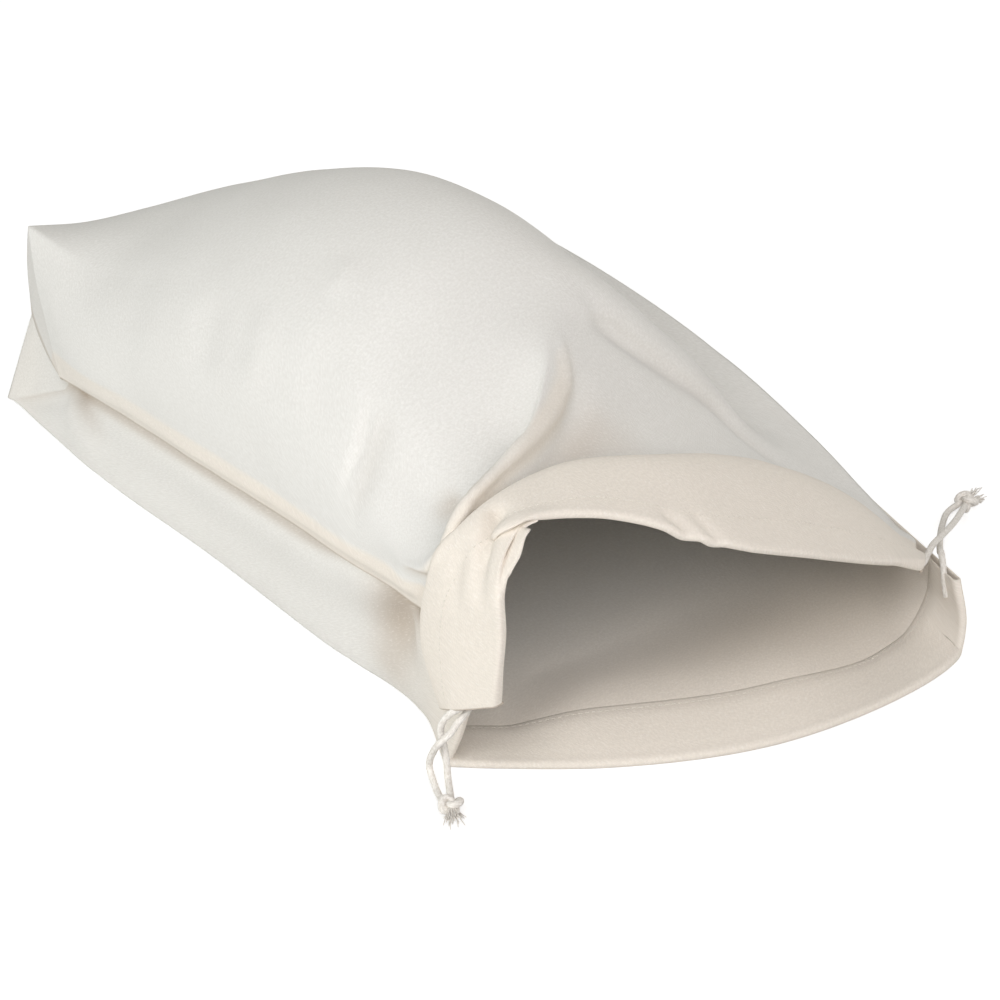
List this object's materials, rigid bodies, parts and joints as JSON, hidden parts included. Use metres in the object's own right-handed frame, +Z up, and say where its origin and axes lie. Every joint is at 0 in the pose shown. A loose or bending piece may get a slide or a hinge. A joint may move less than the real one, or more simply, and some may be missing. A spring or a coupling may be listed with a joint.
{
  "type": "drawstring bag",
  "caption": "Boxed-bottom cotton drawstring bag lying on its back, mouth open, with a drawcord casing along the mouth and knotted cord ends at each side.",
  "frame": {"origin": "middle of the box of the two cloth panels, on the surface the bag lies on", "axes": "+X from the boxed bottom to the mouth, +Y from the near side to the far side, +Z up"},
  "size_m": [0.5004, 0.3774, 0.1804],
  "materials": {
    "cotton_cloth": "matt, undyed plain weave",
    "cotton_cord": "matt, braided"
  },
  "bodies": {
    "root": {"front_panel": "cotton_cloth", "back_panel": "cotton_cloth", "left_strand_front": "cotton_cord", "left_strand_back": "cotton_cord", "right_strand_front": "cotton_cord", "right_strand_back": "cotton_cord", "left_knot": "cotton_cord", "right_knot": "cotton_cord"}
  },
  "joints": []
}
